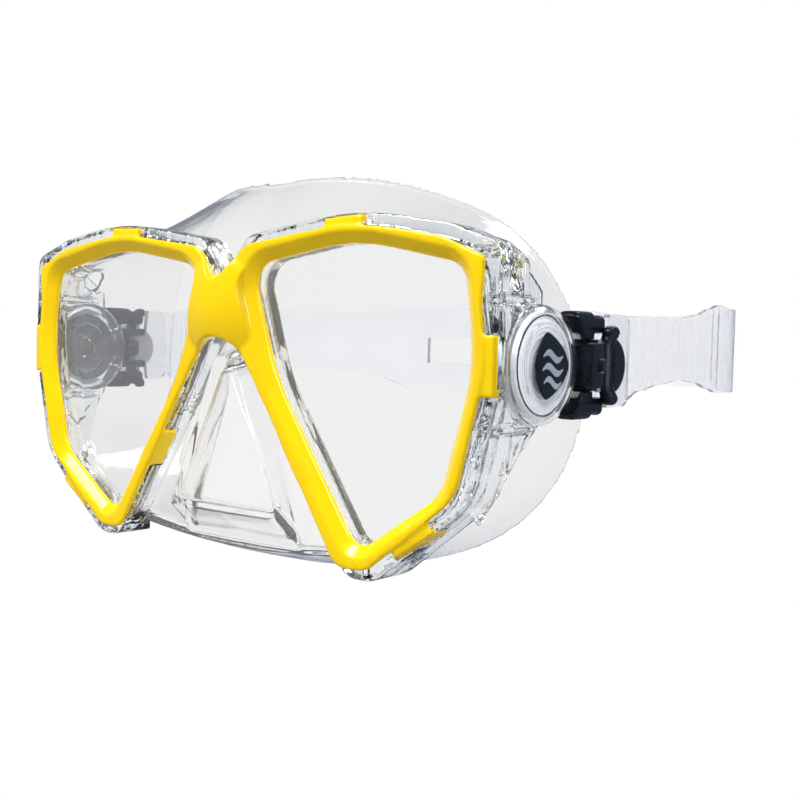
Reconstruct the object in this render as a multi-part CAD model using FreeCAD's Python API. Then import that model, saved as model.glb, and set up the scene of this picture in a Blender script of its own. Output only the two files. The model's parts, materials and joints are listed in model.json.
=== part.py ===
import FreeCAD, Part
import math
import os
from FreeCAD import Vector

# A two-lens snorkel mask. Millimetres, +Z up, the mask looks along -Y and X = 0 is its mirror plane.
# The parts are drawn with Y = 0 on the bezel's front edge, and are moved at the end so that the
# origin is the middle of the seal that rests on the face.

# Driving dimensions
SEAL_DEPTH = 45.0            # from the bezel's front edge to the middle of the face seal
LENS_TURN = 2.0              # each lens plane turns back by this many degrees
FLANGE_BACK = 1.6            # thin outer part of the bezel
BEZEL_BACK = 3.7
BEZEL_LIP_FRONT = 2.6
BEVEL_WIDTH = 3.2
RIB_GROW = 2.2               # outside of the bezel's rib that presses on the glass
LENS_FRONT = 4.0
LENS_BACK = 7.6
LENS_OVERLAP = 3.0           # how far the glass reaches under the bezel all round
SEAT_GROW = 4.6              # outside of the silicone seat round the glass
FRAME_BORE_GROW = 4.8        # inside of the frame round that seat
FRAME_BACK = 9.8
FIT_GAP = 0.1                # between the bezel and the frame
COLLAR_GROW = 1.4            # silicone collar behind the glass
WINDOW_GROW = 0.5            # sight window through that collar
SHROUD_BACK = 15.0
SKIRT_FRONT = 10.0
SKIRT_WALL = 2.0
HUB_Y = 22.0                 # buckle pivot behind the front edge
HUB_Z = 9.3
SIDE_PLATE_X = (80.2, 82.4)
HUB_DISC_X = (82.7, 85.3)
COVER_X = (85.5, 88.0)
BADGE_THICK = 0.6
POD_R = 14.0
COVER_FACE_R = 12.2          # flat of the cover inside its slanted edge
COVER_FACE_DEPTH = 1.6       # height of that slanted edge
COVER_RIM_R = 12.4
HUB_DISC_R = 10.6
RELIEF_SLOT_R = (7.0, 8.4)
BADGE_HALF = (6.9, 7.8)      # half width and half height of the pointed oval
AXLE_R = 3.0
RUNNING_GAP = 0.05
CHASSIS_Y = (37.2, 46.4)
CHASSIS_X = (81.4, 91.4)
FLOOR_THICK = 1.6
CHEEK_IN = 5.6
CHEEK_OUT = 6.4
CHEEK_STEP = (42.3, 89.2)    # behind this depth the cheeks are no wider than this, clear of the lever's ears
BRIDGE_X = 89.9              # inner face of the bar across the cheeks
BRIDGE_END = 38.8
WING_Y = (29.5, 46.0)
WING_X = (83.0, 89.2)
WING_GAP = 1.5               # round gap between a wing and the pod, taken up as the wing is pressed
WING_SPAN = (7.9, 13.0)
STEM_Y = 38.8
STEM_X = 86.3
STEM_R = 1.0
WING_SPRING_R = (1.3, 1.9)
ROLLER_Y = 43.2
ROLLER_X = 86.3
ROLLER_R = 1.3
PIN_R = 0.7
LEVER_PIN_X = 90.5
LEVER_PIN_Y = 40.9
LEVER_X = (89.6, 91.2)
LEVER_FRONT = 39.2
LEVER_GAP = 0.3              # between the lever and each cheek
EAR_REACH = 9.8              # the lever's two ears stand out over the cheeks
EAR_Y = (42.6, 49.2)
LEVER_SPRING_R = 1.4
THUMB_R = 6.6
THUMB_Y = 47.9               # centre of the half-round thumb end
STRAP_THICK = 1.6
STRAP_BEND_Y = 60.0          # where each arm starts to bend outward
STRAP_BEND_R = 30.0
STRAP_TURN_R = 25.0
STRAP_TURN = (70.5, 103.5)   # centre of the strap's rear turn
STRAP_TAIL = 15.5            # length of the folded-back end
STRAP_Z = 10.4
DOME_R = 30.0                # round swelling of the bezel's bridge
DOME_RISE = 3.5
DOME_Z = 22.0
CLIP_THICK = 1.4
CLIP_FRONT = 0.6
# Clips of the bezel: x, z, turn of their outward side from +Z towards +X, half length, depth
CLIPS = [(84.3, 9, 90, 7, 4), (41, 43.2, -3, 6, 9), (63.9, -33.3, 146, 6.5, 8), (26.3, -17.4, 236, 6, 6)]

# Corner points with their fillet radii: (x, z, radius)
OPENING = [(10.0, 32.6, 6), (44, 38.3, 60), (75.4, 32.0, 6), (78.5, 9, 45), (70.3, -21.2, 12), (46.4, -37.4, 4.5),
           (18.8, 4, 60)]
BEZEL_EDGE = [(-3, 28.6, 0), (1.5, 29.4, 6), (8.5, 37.9, 7), (44, 42.6, 90), (70, 38.6, 20), (82, 33.6, 1.5),
              (81.4, 22, 30), (83, 9, 30), (75.8, -21.4, 14), (50.5, -41.6, 8), (41.2, -41.6, 5), (12, 4.4, 40),
              (5.5, 13.2, 9), (-3, 14.4, 0)]
FRAME_EDGE = [(-3, 30.4, 0), (1.5, 31.2, 6), (8.5, 40.4, 7), (44, 45.8, 90), (71, 41.6, 20), (85.2, 36.8, 4),
              (86.6, 9, 40), (79.4, -22.5, 16), (52, -44.4, 9), (43, -44.0, 6), (12.8, 4.6, 40), (6, 14, 9),
              (-3, 15.2, 0)]

# Half outlines of the skirt, from the top of the mirror plane to its bottom: depth, then (x, z)
SKIRT_SECTIONS = [
    (10.0, [(0, 34), (22, 37), (46, 39.4), (66, 37.6), (77, 31.6), (79.3, 10), (76, -9), (68, -25), (52, -37.5),
            (34, -41), (16, -42.5), (0, -43)]),
    (30.0, [(0, 58.5), (22, 57), (45, 49.5), (62, 41), (74, 28), (79.2, 9), (78, -8), (71, -25), (54, -39),
            (36, -45), (17, -48), (0, -48.5)]),
    (64.0, [(0, 70), (25, 68), (48, 57), (63, 46), (74, 30), (79.2, 9), (78.5, -8), (71, -25), (56, -42),
            (38, -49), (19, -53), (0, -54)])]
# Depth of the skirt's rear edge along x
RIM = [(0, 30), (22, 31.5), (42, 37.5), (60, 46), (72, 51.5), (80, 55), (92, 60)]
# Nose pocket: depth, half width at the top, its z, half width at the bottom, its z
POCKET = [(2.0, 3.4, 8.5, 20.5, -32.0), (12.5, 6.0, 12.5, 21.5, -43.0)]
POCKET_WALL = 1.8
# Side of the frame behind the bezel: the pivot plate as (y, z) and the brace below it as (x, y, z)
SIDE_PLATE = [(13, 36), (21, 32), (28, 26.8), (28, -5), (15, -16), (13, -16)]
# Upper edge of that side, from the bezel back to the pivot: the frame is cut away above it
BROW = [(5.5, 39.5), (13, 36.2), (21, 32.0), (30.5, 25.2), (40, 22.0)]
BRACE = [(80.2, 13.0, -12.0), (73.5, 13.5, -28.5), (80.2, 27.0, -4.0)]
# Height of the strap against depth: (y, below, above) from STRAP_Z
STRAP_ARM = [(36, 6.3, 4.1), (46.9, 6.3, 4.1), (47.9, 11.6, 11.5), (64, 11.4, 11.4), (71, 8.0, 11.7), (78, 6.3, 11.6),
             (85, 5.1, 11.7), (91, 5.9, 12.7), (95, 7.4, 14.4), (99, 8.6, 15.6), (106, 8.8, 14.8), (112, 8.6, 13.8),
             (150, 12, 16)]
# Height of the strap's rear pad against x
STRAP_PAD = [(0, 14, 15), (30, 14, 15), (56, 8.5, 13.0), (80, 8.4, 13.4), (100, 8.8, 14.8)]
STRAP_SLOT = (26.0, 4.5)     # half length and half height of the slot in the rear pad


def rounded(points, depth):
    """Wire of straight runs and fillet arcs in the plane Y = depth."""
    spots = [Vector(x, depth, z) for x, z, radius in points]
    edges = []
    last = None
    count = len(points)
    for index, (x, z, radius) in enumerate(points):
        here = spots[index]
        before = (spots[index - 1] - here).normalize()
        after = (spots[(index + 1) % count] - here).normalize()
        if radius:
            half = before.getAngle(after) / 2
            reach = radius / math.tan(half)
            start = here + before * reach
            end = here + after * reach
            middle = here + (before + after).normalize() * (radius / math.sin(half) - radius)
            arc = Part.Arc(start, middle, end).toShape()
        else:
            start, end, arc = here, here, None
        if last is None:
            first = start
        else:
            edges.append(Part.LineSegment(last, start).toShape())
        if arc:
            edges.append(arc)
        last = end
    edges.append(Part.LineSegment(last, first).toShape())
    return Part.Wire(edges)


def prism(wire, back):
    """Solid between a wire's own plane and the plane Y = back."""
    front = wire.BoundBox.YMin
    return Part.Face(wire).extrude(Vector(0, back - front, 0))


def opening(grow, depth):
    wire = rounded(OPENING, depth)
    return wire.makeOffset2D(grow) if grow else wire


def block(x, y, z):
    """Box from three (low, high) pairs."""
    return Part.makeBox(x[1] - x[0], y[1] - y[0], z[1] - z[0], Vector(x[0], y[0], z[0]))


def rod(radius, start, axis, length):
    return Part.makeCylinder(radius, length, Vector(*start), axis)


def outline(points, axis, low, high):
    """Prism along X of a polygon of (y, z), or along Y of a polygon of (x, z)."""
    if axis == "X":
        spots = [Vector(low, a, b) for a, b in points]
        travel = Vector(high - low, 0, 0)
    else:
        spots = [Vector(a, low, b) for a, b in points]
        travel = Vector(0, high - low, 0)
    return Part.Face(Part.makePolygon(spots + spots[:1])).extrude(travel)


def turned(shape):
    """Turns a right-hand piece from the front plane to its lens plane."""
    result = shape.copy()
    result.rotate(Vector(0, 0, 0), Vector(0, 0, 1), LENS_TURN)
    return result


def mirrored(shape):
    return shape.mirror(Vector(0, 0, 0), Vector(1, 0, 0))


def both_sides(half):
    """Joins a right half, cut at the mirror plane, with its mirror image."""
    keep = half.common(block((0, 200), (-50, 200), (-200, 200)))
    return keep.fuse(mirrored(keep)).removeSplitter()


def make_bezel():
    edge = prism(rounded(BEZEL_EDGE, 0.0), FLANGE_BACK).fuse(prism(opening(RIB_GROW, 0.5), BEZEL_BACK))
    dome = Part.makeSphere(DOME_R, Vector(0, DOME_R - DOME_RISE, DOME_Z))
    edge = edge.fuse(dome.common(prism(rounded(BEZEL_EDGE, -DOME_RISE - 1), 0.5)))
    hole = prism(opening(0, -1.0), BEZEL_BACK + 1)
    bevel = Part.makeLoft([opening(BEVEL_WIDTH, 0.0), opening(0, BEZEL_LIP_FRONT)], True, True)
    ahead = prism(opening(BEVEL_WIDTH, -DOME_RISE - 2), 0.0)
    ring = turned(edge.cut(hole).cut(bevel).cut(ahead))
    for clip in clips():
        ring = ring.fuse(turned(clip))
    return both_sides(ring)


def clips(gap=0.0):
    """Hooks behind a right half of the bezel. Grown by gap, they are the windows in the frame."""
    shapes = []
    for x, z, outward, half_length, back in CLIPS:
        half = CLIP_THICK / 2 + gap
        hook = block((-half_length - gap, half_length + gap), (CLIP_FRONT, back + gap), (-half, half))
        if not gap:
            hook = hook.fuse(block((-half_length, half_length), (CLIP_FRONT, FLANGE_BACK), (-3.6, half)))
        hook.rotate(Vector(0, 0, 0), Vector(0, 1, 0), outward)
        hook.translate(Vector(x, 0, z))
        shapes.append(hook)
    return shapes


def skirt_body(inset):
    """Closed loft of the skirt's sections, moved in by inset."""
    curves = []
    for depth, half in SKIRT_SECTIONS:
        ring = half + [(-x, z) for x, z in half[-2:0:-1]]
        count = len(ring)
        spots = []
        for index, (x, z) in enumerate(ring):
            before = ring[index - 1]
            after = ring[(index + 1) % count]
            along = Vector(after[0] - before[0], 0, after[1] - before[1]).normalize()
            spots.append(Vector(x + along.z * inset, depth, z - along.x * inset))
        curve = Part.BSplineCurve()
        curve.interpolate(Points=spots, PeriodicFlag=True)
        curves.append(Part.Wire([curve.toShape()]))
    return Part.makeLoft(curves, True, False)


def pocket_body(shrink):
    """Wedge of the nose pocket, made smaller by shrink on every side but its open back."""
    wires = []
    for depth, top, top_z, bottom, bottom_z in POCKET:
        front = depth + shrink if depth == POCKET[0][0] else depth + 2 * shrink
        spots = [Vector(-top + shrink, front, top_z - 2 * shrink), Vector(top - shrink, front, top_z - 2 * shrink),
                 Vector(bottom - shrink, front, bottom_z + shrink),
                 Vector(-bottom + shrink, front, bottom_z + shrink)]
        wires.append(Part.makePolygon(spots + spots[:1]))
    return Part.makeLoft(wires, True, True)


def rim_cutter():
    """Everything behind the skirt's rear edge."""
    ring = [(-x, y) for x, y in RIM[:0:-1]] + RIM
    curve = Part.BSplineCurve()
    curve.interpolate(Points=[Vector(x, y, -120) for x, y in ring])
    start, end = ring[0], ring[-1]
    corners = [Vector(end[0], end[1], -120), Vector(end[0], 130, -120), Vector(start[0], 130, -120),
               Vector(start[0], start[1], -120)]
    wire = Part.Wire([curve.toShape(), Part.makePolygon(corners)])
    return Part.Face(wire).extrude(Vector(0, 0, 240))


def ahead_of(depth):
    """Everything ahead of the two turned lens planes at this depth."""
    half = turned(block((-20, 120), (-60, depth), (-100, 100))).common(block((0, 200), (-100, 200), (-200, 200)))
    return half.fuse(mirrored(half))


def make_skirt():
    shell = skirt_body(0.0).cut(ahead_of(SKIRT_FRONT))
    shell = shell.fuse(pocket_body(0.0))
    shell = shell.cut(skirt_body(SKIRT_WALL).cut(ahead_of(SKIRT_FRONT + SKIRT_WALL)))
    shell = shell.cut(pocket_body(POCKET_WALL)).cut(rim_cutter())
    seat = prism(opening(SEAT_GROW, BEZEL_BACK + 0.1), SKIRT_FRONT - 0.1)
    seat = seat.cut(prism(opening(LENS_OVERLAP, BEZEL_BACK), LENS_BACK))
    collar = prism(opening(COLLAR_GROW, LENS_BACK), SKIRT_FRONT + 0.5)
    seat = turned(seat.fuse(collar))
    window = turned(prism(opening(WINDOW_GROW, 0.0), SKIRT_FRONT + 8))
    shell = shell.fuse(seat).fuse(mirrored(seat))
    return shell.cut(window).cut(mirrored(window))


def make_main_frame():
    ring = prism(rounded(FRAME_EDGE, FLANGE_BACK + FIT_GAP), FRAME_BACK)
    ring = ring.cut(prism(opening(RIB_GROW + FIT_GAP, 0.0), BEZEL_BACK + 1))
    ring = ring.cut(prism(opening(FRAME_BORE_GROW, BEZEL_BACK), FRAME_BACK + 2))
    for window in clips(0.3):
        ring = ring.cut(window)
    ring = both_sides(turned(ring))
    shroud = prism(rounded(FRAME_EDGE, FRAME_BACK - 2.0), SHROUD_BACK)
    shroud = shroud.cut(prism(opening(FRAME_BORE_GROW, 0.0), FRAME_BACK + 0.2))
    shroud = turned(shroud).cut(skirt_body(-0.5))
    brow = outline(BROW + [(BROW[-1][0], 60), (BROW[0][0], 60)], "X", 40, 100)
    shroud = shroud.common(block((45, 100), (0, 40), (-60, 60))).cut(brow)
    for window in clips(0.3):
        shroud = shroud.cut(turned(window))
    side = outline(SIDE_PLATE, "X", *SIDE_PLATE_X)
    side = side.fuse(lower_brace())
    disc = rod(POD_R, (SIDE_PLATE_X[0], HUB_Y, HUB_Z), Vector(1, 0, 0), SIDE_PLATE_X[1] - SIDE_PLATE_X[0])
    axle = rod(AXLE_R, (SIDE_PLATE_X[0], HUB_Y, HUB_Z), Vector(1, 0, 0), COVER_X[0] - SIDE_PLATE_X[0])
    seat_room = turned(prism(opening(FRAME_BORE_GROW, 0.0), SKIRT_FRONT + 0.2))
    arm = shroud.fuse(side).fuse(disc).cut(skirt_body(-0.5)).cut(seat_room)
    pod_room = rod(POD_R + 0.2, (SIDE_PLATE_X[1], HUB_Y, HUB_Z), Vector(1, 0, 0), 10)
    frame = ring.fuse(arm).fuse(mirrored(arm)).cut(pod_room).cut(mirrored(pod_room))
    return frame.fuse(axle).fuse(mirrored(axle)).removeSplitter()


def lower_brace():
    """Slanted plate from the frame's lower corner up to the pivot plate."""
    corners = [Vector(*corner) for corner in BRACE]
    face = Part.Face(Part.makePolygon(corners + corners[:1]))
    normal = face.normalAt(0, 0)
    if normal.x < 0:
        normal = normal * -1
    return face.extrude(normal * (SIDE_PLATE_X[1] - SIDE_PLATE_X[0]))


def make_lens():
    return turned(prism(opening(LENS_OVERLAP, LENS_FRONT), LENS_BACK))


def make_pod_cover():
    centre = (COVER_X[0], HUB_Y, HUB_Z)
    shoulder = COVER_X[1] - COVER_X[0] - COVER_FACE_DEPTH
    plate = rod(POD_R, centre, Vector(1, 0, 0), shoulder)
    slanted = Part.makeCone(POD_R, COVER_FACE_R, COVER_FACE_DEPTH, Vector(COVER_X[0] + shoulder, HUB_Y, HUB_Z),
                            Vector(1, 0, 0))
    plate = plate.fuse(slanted)
    rim_start = (SIDE_PLATE_X[1], HUB_Y, HUB_Z)
    depth = COVER_X[0] - SIDE_PLATE_X[1]
    rim = rod(POD_R, rim_start, Vector(1, 0, 0), depth).cut(rod(COVER_RIM_R, rim_start, Vector(1, 0, 0), depth))
    reach = 30.0
    mouth = [(HUB_Y, HUB_Z)]
    for angle in (-58, 0, 58):
        mouth.append((HUB_Y + reach * math.cos(math.radians(angle)), HUB_Z + reach * math.sin(math.radians(angle))))
    rim = rim.cut(outline(mouth, "X", SIDE_PLATE_X[1] - 1, COVER_X[0]))
    return plate.fuse(rim).removeSplitter()


def make_badge():
    """Flat plate with two bowed sides that meet in a point above and below."""
    half_width, half_height = BADGE_HALF
    x = COVER_X[1]
    top = Vector(x, HUB_Y, HUB_Z + half_height)
    bottom = Vector(x, HUB_Y, HUB_Z - half_height)
    front = Part.Arc(top, Vector(x, HUB_Y - half_width, HUB_Z), bottom).toShape()
    back = Part.Arc(bottom, Vector(x, HUB_Y + half_width, HUB_Z), top).toShape()
    return Part.Face(Part.Wire([front, back])).extrude(Vector(BADGE_THICK, 0, 0))


def hub_disc():
    """Pivot disc of a buckle with its two curved relief slots."""
    thick = HUB_DISC_X[1] - HUB_DISC_X[0]
    centre = (HUB_DISC_X[0], HUB_Y, HUB_Z)
    disc = rod(HUB_DISC_R, centre, Vector(1, 0, 0), thick)
    inner, outer = RELIEF_SLOT_R
    slot = rod(outer, centre, Vector(1, 0, 0), thick).cut(rod(inner, centre, Vector(1, 0, 0), thick))
    sector = [(HUB_Y, HUB_Z)]
    for angle in (25, 75, 125):
        sector.append((HUB_Y + 20 * math.cos(math.radians(angle)), HUB_Z + 20 * math.sin(math.radians(angle))))
    upper = slot.common(outline(sector, "X", *HUB_DISC_X))
    lower = upper.mirror(Vector(0, 0, HUB_Z), Vector(0, 0, 1))
    bore = rod(AXLE_R + RUNNING_GAP, centre, Vector(1, 0, 0), thick)
    return disc.cut(upper).cut(lower).cut(bore)


def make_buckle_base():
    disc = hub_disc()
    neck = block(HUB_DISC_X, (HUB_Y + 9.0, CHASSIS_Y[0] + 1), (HUB_Z - CHEEK_OUT, HUB_Z + CHEEK_OUT))
    floor = block((CHASSIS_X[0], CHASSIS_X[0] + FLOOR_THICK), CHASSIS_Y, (HUB_Z - CHEEK_OUT, HUB_Z + CHEEK_OUT))
    body = disc.fuse(neck).fuse(floor)
    for side in (-1, 1):
        low, high = sorted((HUB_Z + side * CHEEK_IN, HUB_Z + side * CHEEK_OUT))
        cheek = block(CHASSIS_X, CHASSIS_Y, (low, high))
        step = block((CHEEK_STEP[1], CHASSIS_X[1] + 1), (CHEEK_STEP[0], CHASSIS_Y[1] + 1), (low, high))
        body = body.fuse(cheek.cut(step))
    bridge = block((BRIDGE_X, CHASSIS_X[1]), (CHASSIS_Y[0], BRIDGE_END), (HUB_Z - CHEEK_OUT, HUB_Z + CHEEK_OUT))
    body = body.fuse(bridge)
    low = HUB_Z - 12.0
    body = body.cut(rod(STEM_R + 0.1, (STEM_X, STEM_Y, low), Vector(0, 0, 1), 24.0))
    body = body.cut(rod(PIN_R, (ROLLER_X, ROLLER_Y, low), Vector(0, 0, 1), 24.0))
    body = body.cut(rod(PIN_R, (LEVER_PIN_X, LEVER_PIN_Y, low), Vector(0, 0, 1), 24.0))
    return body.removeSplitter()


def make_wing(side):
    """Squeeze wing above (side 1) or below (side -1) the buckle."""
    low, high = sorted((HUB_Z + side * WING_SPAN[0], HUB_Z + side * WING_SPAN[1]))
    body = block(WING_X, WING_Y, (low, high))
    outer = [edge for edge in body.Edges if abs(edge.CenterOfMass.z - (HUB_Z + side * WING_SPAN[1])) < 0.01]
    body = body.makeFillet(1.6, outer)
    body = body.cut(rod(POD_R + WING_GAP, (WING_X[0] - 1, HUB_Y, HUB_Z), Vector(1, 0, 0), 10))
    stem_base = HUB_Z + side * CHEEK_IN
    stem = rod(STEM_R, (STEM_X, STEM_Y, stem_base), Vector(0, 0, side), WING_SPAN[0] - CHEEK_IN)
    return body.fuse(stem)


def make_wing_spring(side):
    start = (STEM_X, STEM_Y, HUB_Z + side * (CHEEK_OUT + 0.02))
    length = WING_SPAN[0] - CHEEK_OUT - 0.04
    inner, outer = WING_SPRING_R
    return rod(outer, start, Vector(0, 0, side), length).cut(rod(inner, start, Vector(0, 0, side), length))


def make_roller():
    start = (ROLLER_X, ROLLER_Y, HUB_Z - CHEEK_IN + 0.15)
    length = 2 * CHEEK_IN - 0.3
    return rod(ROLLER_R, start, Vector(0, 0, 1), length).cut(rod(PIN_R + RUNNING_GAP, start, Vector(0, 0, 1), length))


def make_pin(x, y):
    return rod(PIN_R, (x, y, HUB_Z - CHEEK_OUT), Vector(0, 0, 1), 2 * CHEEK_OUT)


def make_lever():
    """Strap catch with its two ears and its half-round thumb end, round the lever pin."""
    half = CHEEK_IN - LEVER_GAP
    plate = block(LEVER_X, (LEVER_FRONT, EAR_Y[1] + LEVER_GAP), (HUB_Z - half, HUB_Z + half))
    plate = plate.fuse(block(LEVER_X, EAR_Y, (HUB_Z - EAR_REACH, HUB_Z + EAR_REACH)))
    thumb = rod(THUMB_R, (LEVER_X[0], THUMB_Y, HUB_Z), Vector(1, 0, 0), LEVER_X[1] - LEVER_X[0])
    thumb = thumb.common(block(LEVER_X, (EAR_Y[1] - 1, 70), (HUB_Z - 10, HUB_Z + 10)))
    body = plate.fuse(thumb)
    eye = rod(PIN_R + 0.9, (LEVER_PIN_X, LEVER_PIN_Y, HUB_Z - half), Vector(0, 0, 1), 2 * half)
    body = body.fuse(eye)
    body = body.cut(rod(PIN_R + RUNNING_GAP, (LEVER_PIN_X, LEVER_PIN_Y, HUB_Z - 10), Vector(0, 0, 1), 20))
    notch = block((LEVER_PIN_X - 2, LEVER_PIN_X + 2), (LEVER_PIN_Y - 1.9, LEVER_PIN_Y + 1.9), (HUB_Z - 2, HUB_Z + 2))
    return body.cut(notch).removeSplitter()


def make_lever_spring():
    start = (LEVER_PIN_X, LEVER_PIN_Y, HUB_Z - 1.7)
    spring = rod(LEVER_SPRING_R, start, Vector(0, 0, 1), 3.4)
    return spring.cut(rod(PIN_R, start, Vector(0, 0, 1), 3.4))


def strap_path():
    """Right half of the strap's middle line in the XY plane, from its folded end to the mirror plane."""
    wrap = ROLLER_R + STRAP_THICK / 2 + 0.15
    roller = Vector(ROLLER_X, ROLLER_Y, STRAP_Z)
    outer = roller + Vector(wrap, 0, 0)
    front = roller + Vector(0, -wrap, 0)
    inner = roller + Vector(-wrap, 0, 0)
    tail_end = outer + Vector(0, STRAP_TAIL, 0)
    # The arm runs straight back, bends outward round one circle and meets the rear turn, tangent to both
    bend_start = Vector(inner.x, STRAP_BEND_Y, STRAP_Z)
    bend = bend_start + Vector(STRAP_BEND_R, 0, 0)
    turn = Vector(STRAP_TURN[0], STRAP_TURN[1], STRAP_Z)
    across = turn - bend
    angle = math.atan2(across.y, across.x) + math.acos((STRAP_BEND_R + STRAP_TURN_R) / across.Length)
    normal = Vector(math.cos(angle), math.sin(angle), 0)
    half_angle = (angle + math.pi) / 2
    bend_middle = bend + Vector(math.cos(half_angle), math.sin(half_angle), 0) * STRAP_BEND_R
    bend_end = bend + normal * STRAP_BEND_R
    meet = turn - normal * STRAP_TURN_R
    rear = turn + Vector(0, STRAP_TURN_R, 0)
    corner = turn + Vector(math.cos(math.radians(48)), math.sin(math.radians(48)), 0) * STRAP_TURN_R
    edges = [Part.LineSegment(tail_end, outer).toShape(), Part.Arc(outer, front, inner).toShape(),
             Part.LineSegment(inner, bend_start).toShape(), Part.Arc(bend_start, bend_middle, bend_end).toShape(),
             Part.LineSegment(bend_end, meet).toShape(), Part.Arc(meet, corner, rear).toShape(),
             Part.LineSegment(rear, Vector(0, rear.y, STRAP_Z)).toShape()]
    return edges, tail_end


def height_profile(rows):
    """Closed polygon of (place, height) from rows of (place, below, above)."""
    above = [(place, STRAP_Z + high) for place, low, high in rows]
    below = [(place, STRAP_Z - low) for place, low, high in rows[::-1]]
    return above + below


def make_strap():
    edges, tail_end = strap_path()
    half_height = 30.0
    section = Part.makePolygon([
        tail_end + Vector(-STRAP_THICK / 2, 0, -half_height), tail_end + Vector(STRAP_THICK / 2, 0, -half_height),
        tail_end + Vector(STRAP_THICK / 2, 0, half_height), tail_end + Vector(-STRAP_THICK / 2, 0, half_height),
        tail_end + Vector(-STRAP_THICK / 2, 0, -half_height)])
    band = Part.Wire(edges).makePipeShell([section], True, False)
    arm = band.common(outline(height_profile(STRAP_ARM), "X", 0, 120))
    pad_zone = outline(height_profile(STRAP_PAD), "Y", STRAP_TURN[1], 160)
    arm = arm.common(pad_zone.fuse(block((0, 130), (0, STRAP_TURN[1]), (-60, 60))))
    slot = block((-STRAP_SLOT[0], STRAP_SLOT[0]), (100, 160), (STRAP_Z - STRAP_SLOT[1], STRAP_Z + STRAP_SLOT[1]))
    strap = arm.fuse(mirrored(arm)).cut(slot)
    return strap.removeSplitter()


def save(name, shape):
    """Moves a piece to the face seal's origin and writes it."""
    piece = shape.copy()
    piece.translate(Vector(0, -SEAL_DEPTH, 0))
    solids = piece.Solids
    if len(solids) == 1:
        piece = solids[0]
    if not piece.isValid() or len(solids) != 1:
        print(name, "has", len(solids), "solids, valid:", piece.isValid())
    piece.exportStep("parts/" + name + ".step")


def main():
    os.makedirs("parts", exist_ok=True)
    save("bezel", make_bezel())
    save("main_frame", make_main_frame())
    save("skirt", make_skirt())
    save("strap", make_strap())
    pieces = {
        "lens": make_lens(),
        "pod_cover": make_pod_cover(),
        "badge": make_badge(),
        "buckle_base": make_buckle_base(),
        "wing_upper": make_wing(1),
        "wing_lower": make_wing(-1),
        "wing_spring_upper": make_wing_spring(1),
        "wing_spring_lower": make_wing_spring(-1),
        "roller": make_roller(),
        "roller_pin": make_pin(ROLLER_X, ROLLER_Y),
        "lever": make_lever(),
        "lever_pin": make_pin(LEVER_PIN_X, LEVER_PIN_Y),
        "lever_spring": make_lever_spring()}
    for name, shape in pieces.items():
        save("right_" + name, shape)
        save("left_" + name, mirrored(shape))


main()
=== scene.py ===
import bmesh
import bpy
import json
import math
from mathutils import Matrix, Vector


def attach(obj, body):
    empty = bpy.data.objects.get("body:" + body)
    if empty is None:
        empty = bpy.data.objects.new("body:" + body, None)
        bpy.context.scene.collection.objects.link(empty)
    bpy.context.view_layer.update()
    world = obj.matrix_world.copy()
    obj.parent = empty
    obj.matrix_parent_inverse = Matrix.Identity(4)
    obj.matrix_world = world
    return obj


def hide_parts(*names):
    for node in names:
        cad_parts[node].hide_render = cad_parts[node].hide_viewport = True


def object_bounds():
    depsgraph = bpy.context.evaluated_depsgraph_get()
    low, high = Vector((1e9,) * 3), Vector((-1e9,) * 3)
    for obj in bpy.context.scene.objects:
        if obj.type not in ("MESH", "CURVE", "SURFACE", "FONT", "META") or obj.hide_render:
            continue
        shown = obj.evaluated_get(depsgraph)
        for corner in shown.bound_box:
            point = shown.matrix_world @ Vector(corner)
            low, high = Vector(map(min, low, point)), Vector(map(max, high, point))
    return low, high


# Looks of a two-lens snorkel mask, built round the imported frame. Lengths in the tables are millimetres
# in the mask's own axes: X = 0 is the mirror plane, Y = 0 the bezel's front face and +Z up. place()
# turns them to metres.
MM = 0.001
SEAL_DEPTH = 45.0
HUB_Y = 22.0
HUB_Z = 9.3

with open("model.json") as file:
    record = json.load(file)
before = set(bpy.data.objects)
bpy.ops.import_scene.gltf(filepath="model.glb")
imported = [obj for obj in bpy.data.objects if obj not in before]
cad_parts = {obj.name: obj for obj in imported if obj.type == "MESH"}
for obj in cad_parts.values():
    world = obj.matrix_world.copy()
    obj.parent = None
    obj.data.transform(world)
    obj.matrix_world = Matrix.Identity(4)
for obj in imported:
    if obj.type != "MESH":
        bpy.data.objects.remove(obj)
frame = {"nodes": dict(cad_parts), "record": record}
cad_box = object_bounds()
nodes = frame["nodes"]
scene = bpy.context.scene


def place(x, y, z):
    return Vector((x * MM, (y - SEAL_DEPTH) * MM, z * MM))


# ---------------------------------------------------------------- materials

def new_material(name):
    material = bpy.data.materials.new(name)
    material.use_nodes = True
    tree = material.node_tree
    return material, tree.nodes, tree.links, tree.nodes["Principled BSDF"]


def add_noise(material, scale, detail=3.0, stretch=(1, 1, 1)):
    """Noise in the object's own metres; returns its factor socket."""
    tree = material.node_tree
    coords = tree.nodes.new("ShaderNodeTexCoord")
    mapping = tree.nodes.new("ShaderNodeMapping")
    mapping.inputs["Scale"].default_value = stretch
    noise = tree.nodes.new("ShaderNodeTexNoise")
    noise.inputs["Scale"].default_value = scale
    noise.inputs["Detail"].default_value = detail
    tree.links.new(coords.outputs["Object"], mapping.inputs["Vector"])
    tree.links.new(mapping.outputs["Vector"], noise.inputs["Vector"])
    return noise.outputs["Fac"]


def add_range(material, socket, low, high, start=0.3, end=0.7):
    node = material.node_tree.nodes.new("ShaderNodeMapRange")
    node.inputs["From Min"].default_value = start
    node.inputs["From Max"].default_value = end
    node.inputs["To Min"].default_value = low
    node.inputs["To Max"].default_value = high
    material.node_tree.links.new(socket, node.inputs["Value"])
    return node.outputs["Result"]


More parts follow.
